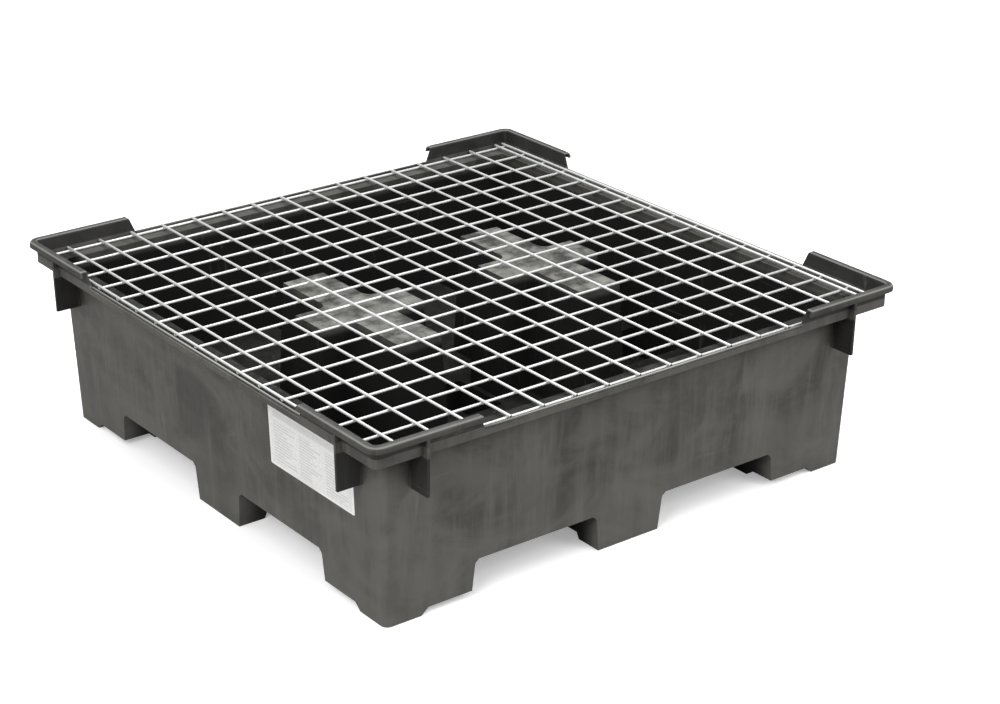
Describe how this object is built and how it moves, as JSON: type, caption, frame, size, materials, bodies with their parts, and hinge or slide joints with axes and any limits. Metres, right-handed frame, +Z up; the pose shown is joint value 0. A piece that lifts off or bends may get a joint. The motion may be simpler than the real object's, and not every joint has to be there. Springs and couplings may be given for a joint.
{
  "type": "spill containment pallet",
  "caption": "Square moulded plastic sump pallet with fork tunnels both ways, raised corner lips and a loose welded wire deck over the basin",
  "frame": {"origin": "centre of the footprint, on the floor", "axes": "+Z up; X and Y along the two sides of the square, the upper deck wires run along Y"},
  "size_m": [1.2826, 1.2826, 0.4032],
  "materials": {
    "sump": "moulded black polyethylene, satin, faintly mottled",
    "label": "printed adhesive film",
    "wire": "bright zinc-coated round bar, welded at the crossings"
  },
  "bodies": {
    "base": {"sump": "sump", "label": "label"},
    "deck": {"lower_wire_01": "wire", "lower_wire_02": "wire", "lower_wire_03": "wire", "lower_wire_04": "wire", "lower_wire_05": "wire", "lower_wire_06": "wire", "lower_wire_07": "wire", "lower_wire_08": "wire", "lower_wire_09": "wire", "lower_wire_10": "wire", "lower_wire_11": "wire", "lower_wire_12": "wire", "lower_wire_13": "wire", "lower_wire_14": "wire", "lower_wire_15": "wire", "lower_wire_16": "wire", "lower_wire_17": "wire", "upper_wire_01": "wire", "upper_wire_02": "wire", "upper_wire_03": "wire", "upper_wire_04": "wire", "upper_wire_05": "wire", "upper_wire_06": "wire", "upper_wire_07": "wire", "upper_wire_08": "wire", "upper_wire_09": "wire", "upper_wire_10": "wire", "upper_wire_11": "wire", "upper_wire_12": "wire", "upper_wire_13": "wire", "upper_wire_14": "wire", "upper_wire_15": "wire", "upper_wire_16": "wire", "upper_wire_17": "wire", "upper_wire_18": "wire"}
  },
  "joints": [
    {"name": "deck_lift", "type": "slide", "parent": "base", "child": "deck", "axis": [0, 0, 1], "range_m": [0, 0.3]}
  ]
}
